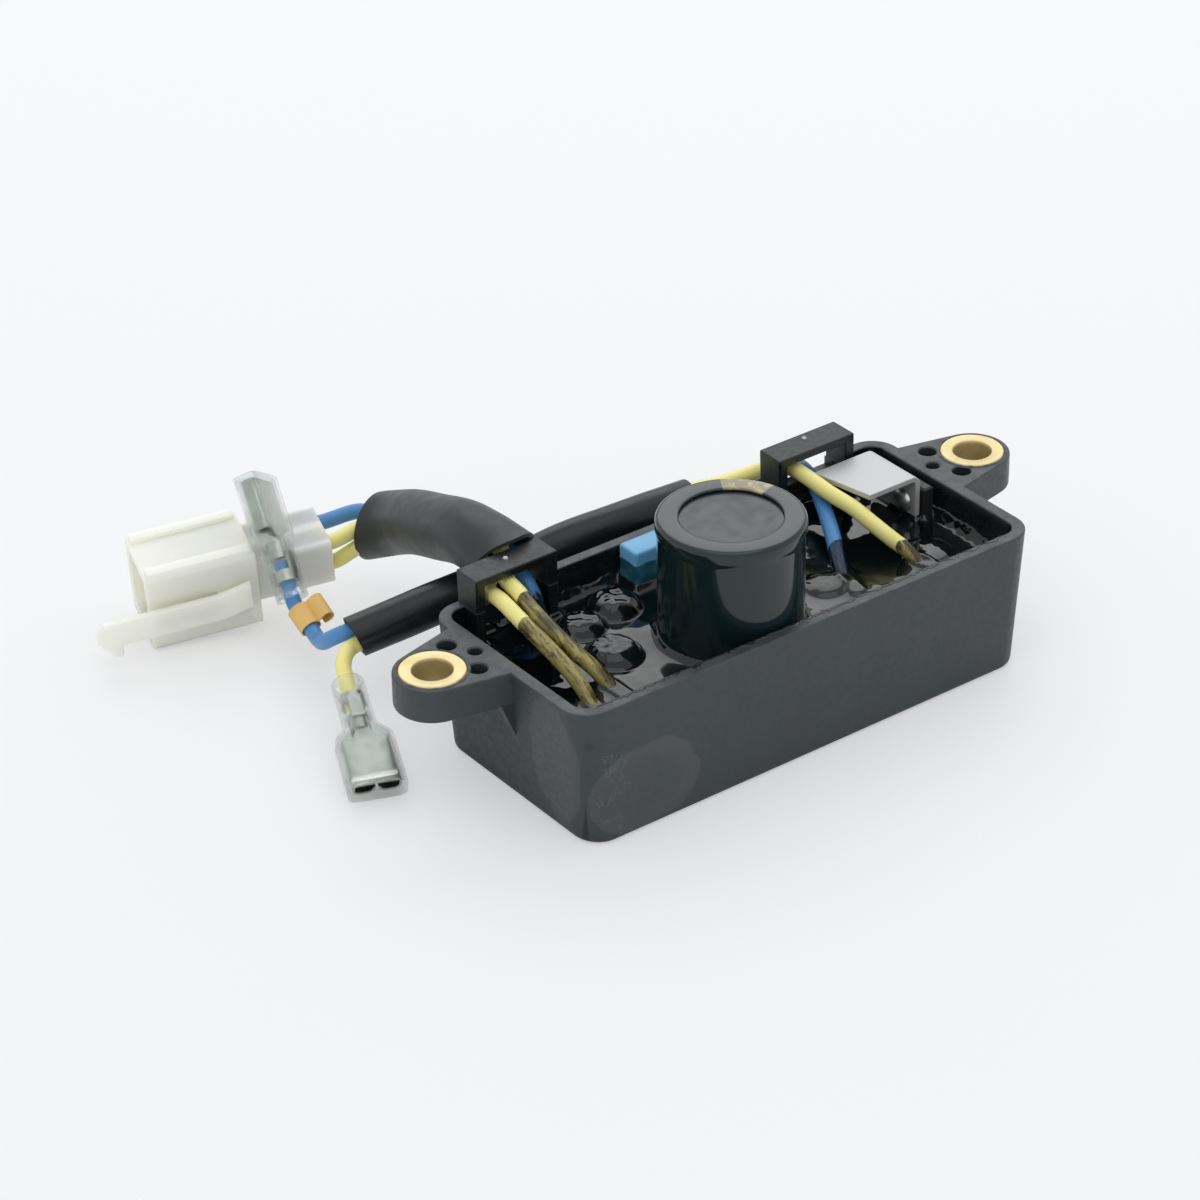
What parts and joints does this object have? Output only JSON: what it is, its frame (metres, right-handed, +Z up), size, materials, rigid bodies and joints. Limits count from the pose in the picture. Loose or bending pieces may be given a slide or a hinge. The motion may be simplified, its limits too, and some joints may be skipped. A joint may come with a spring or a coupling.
{
  "type": "automatic voltage regulator",
  "caption": "Potted generator voltage regulator: open moulded box with two fixing ears, tall capacitor, sleeved leads, one connector and push-on receptacles.",
  "frame": {"origin": "on the floor under the middle of the box, midway between the two fixing bores along X and at the middle of the box's depth along Y", "axes": "+X along the box from the left ear to the right ear as seen from the long front, +Y to the back wall over which the leads leave, +Z up out of the open top"},
  "size_m": [0.1404, 0.1063, 0.0402],
  "materials": {
    "black_moulding": "grey-black glass-filled moulding, satin",
    "yellow_plated_steel": "cream-yellow plated, semi-matt",
    "potting_resin": "black poured resin, glossy",
    "board_laminate": "green board laminate",
    "capacitor_sleeve": "dark shrink sleeve, glossy",
    "aluminium": "plain, satin",
    "blue_box": "bright blue moulded box",
    "component_black": "black component bodies",
    "olive_coat": "olive coating under a skin of resin",
    "yellow_insulation": "yellow lead insulation, glossy",
    "blue_insulation": "blue lead insulation, glossy",
    "black_sleeving": "black soft sleeving, satin",
    "natural_nylon": "natural nylon, slightly translucent",
    "tinned_brass": "tinned, bright",
    "clear_sleeve": "clear soft cover",
    "orange_marker": "orange folded marker strip"
  },
  "bodies": {
    "root": {"housing": "black_moulding", "bushing_left": "yellow_plated_steel", "bushing_right": "yellow_plated_steel", "potting_resin": "potting_resin", "circuit_board": "board_laminate", "capacitor_can": "aluminium", "capacitor_sleeve": "capacitor_sleeve", "capacitor_disc": "capacitor_sleeve", "film_capacitor": "blue_box", "heat_sink": "aluminium", "heat_sink_rivet": "aluminium", "power_transistor": "component_black", "small_capacitor_1": "component_black", "small_capacitor_2": "component_black", "small_capacitor_3": "component_black", "varistor": "olive_coat", "diode_1": "component_black", "diode_2": "component_black", "diode_3": "component_black", "diode_4": "component_black", "resistor_1": "olive_coat", "resistor_2": "olive_coat", "lead_yellow_1": "yellow_insulation", "lead_yellow_2": "yellow_insulation", "lead_yellow_3": "yellow_insulation", "lead_blue_1": "blue_insulation", "lead_blue_2": "blue_insulation", "sleeve_large": "black_sleeving", "sleeve_thin": "black_sleeving", "connector_housing": "natural_nylon", "connector_terminal_1": "tinned_brass", "connector_terminal_2": "tinned_brass", "connector_terminal_3": "tinned_brass", "receptacle_yellow": "tinned_brass", "receptacle_blue": "tinned_brass", "terminal_cover_yellow": "clear_sleeve", "terminal_cover_blue": "clear_sleeve", "marker_tag": "orange_marker"}
  },
  "joints": []
}
